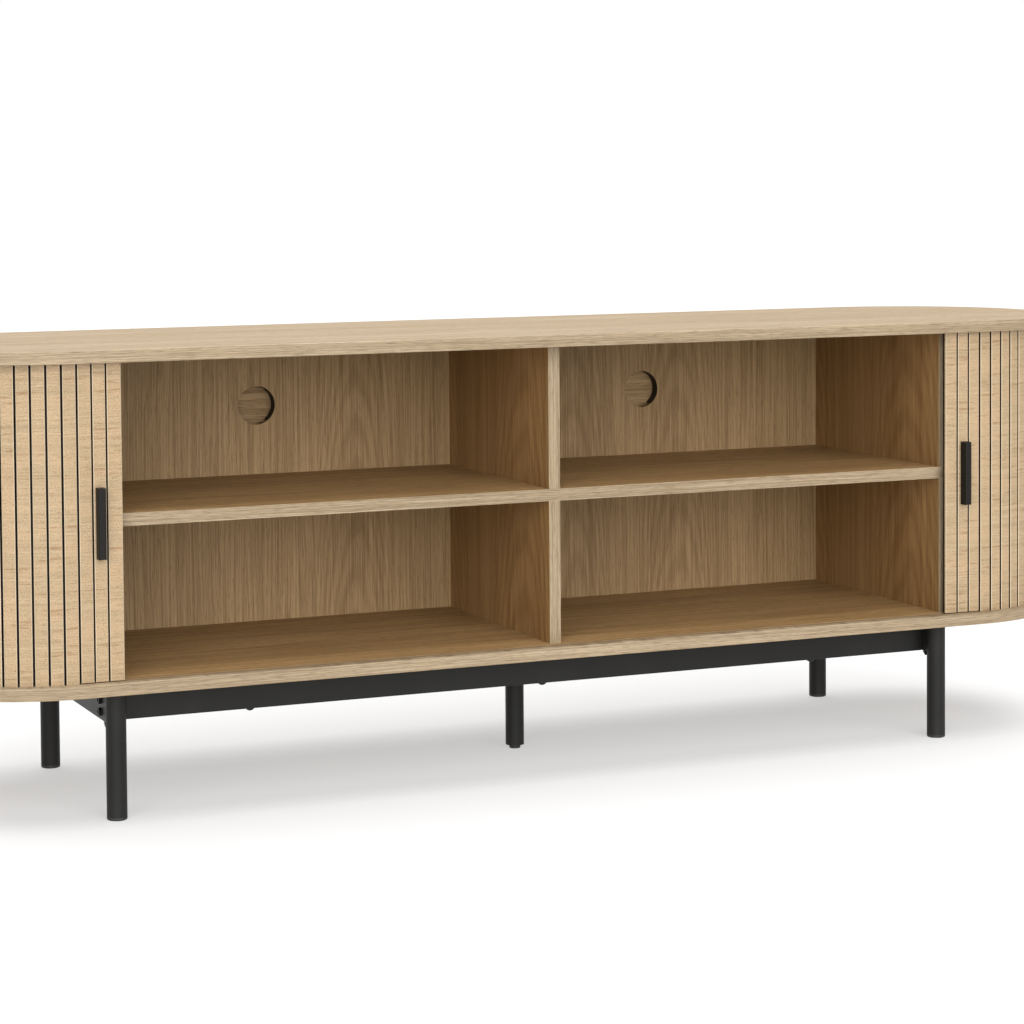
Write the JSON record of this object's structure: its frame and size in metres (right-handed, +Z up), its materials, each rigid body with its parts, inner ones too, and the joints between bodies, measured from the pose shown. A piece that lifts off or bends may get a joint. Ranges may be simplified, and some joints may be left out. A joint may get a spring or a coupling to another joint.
{
  "type": "media cabinet",
  "caption": "Low media cabinet with rounded ends, open bays with a shelf, tambour doors that slide around the ends, and a black steel underframe.",
  "frame": {"origin": "on the floor under the middle of the cabinet", "axes": "+X to the right seen from the front, +Y to the back, +Z up"},
  "size_m": [1.5998, 0.4, 0.55],
  "materials": {
    "oak_board": "matt lacquered light oak veneer, grain along the length",
    "oak_upright": "matt lacquered light oak veneer, grain upright",
    "oak_back": "matt light oak veneer",
    "oak_slats": "matt lacquered light oak, grain across the slats",
    "canvas": "black cloth",
    "beech": "plain beech",
    "black_steel": "satin black powder coat",
    "black_screws": "black oxide",
    "zinc": "zinc plated",
    "black_plastic": "matt black"
  },
  "bodies": {
    "cabinet": {"top_panel": "oak_board", "bottom_panel": "oak_board", "shelf_board": "oak_board", "left_side_panel_upper": "oak_upright", "left_side_panel_lower": "oak_upright", "divider_upper": "oak_upright", "divider_lower": "oak_upright", "right_side_panel_upper": "oak_upright", "right_side_panel_lower": "oak_upright", "inner_back_panel": "oak_back", "rear_panel": "oak_back", "right_end_panel": "oak_back", "left_end_panel": "oak_back", "shelf_dowels": "beech", "end_panel_blocks": "beech", "track_stops": "beech", "front_left_leg": "black_steel", "front_right_leg": "black_steel", "rear_left_leg": "black_steel", "rear_right_leg": "black_steel", "left_side_rail": "black_steel", "right_side_rail": "black_steel", "front_rail": "black_steel", "rear_rail": "black_steel", "rail_end_plates": "black_steel", "centre_leg": "black_steel", "centre_leg_plate": "black_steel", "side_rail_bolts": "black_screws", "rail_bolts": "black_screws", "centre_leg_screws": "black_screws", "base_screws": "zinc", "cam_discs": "zinc", "cam_bolts": "zinc", "inner_back_screws": "zinc", "rear_panel_screws": "zinc", "panel_inserts": "zinc", "centre_leg_nut": "zinc", "front_left_glide": "black_plastic", "front_right_glide": "black_plastic", "rear_left_glide": "black_plastic", "rear_right_glide": "black_plastic"},
    "right_door": {"right_door_slats": "oak_slats", "right_door_canvas": "canvas", "right_door_handle": "black_steel", "right_door_handle_screws": "zinc"},
    "left_door": {"left_door_slats": "oak_slats", "left_door_canvas": "canvas", "left_door_handle": "black_steel", "left_door_handle_screws": "zinc"},
    "centre_foot": {"centre_foot_pad": "black_plastic", "centre_foot_stud": "zinc"}
  },
  "joints": [
    {"name": "right_door_track", "type": "hinge", "parent": "cabinet", "child": "right_door", "pos_m": [0.6, 0, 0.351], "axis": [0, 0, 1], "range_deg": [0, 80]},
    {"name": "left_door_track", "type": "hinge", "parent": "cabinet", "child": "left_door", "pos_m": [-0.6, 0, 0.351], "axis": [0, 0, -1], "range_deg": [0, 80]},
    {"name": "centre_foot_thread", "type": "slide", "parent": "cabinet", "child": "centre_foot", "axis": [0, 0, 1], "range_m": [0, 0.005]}
  ]
}
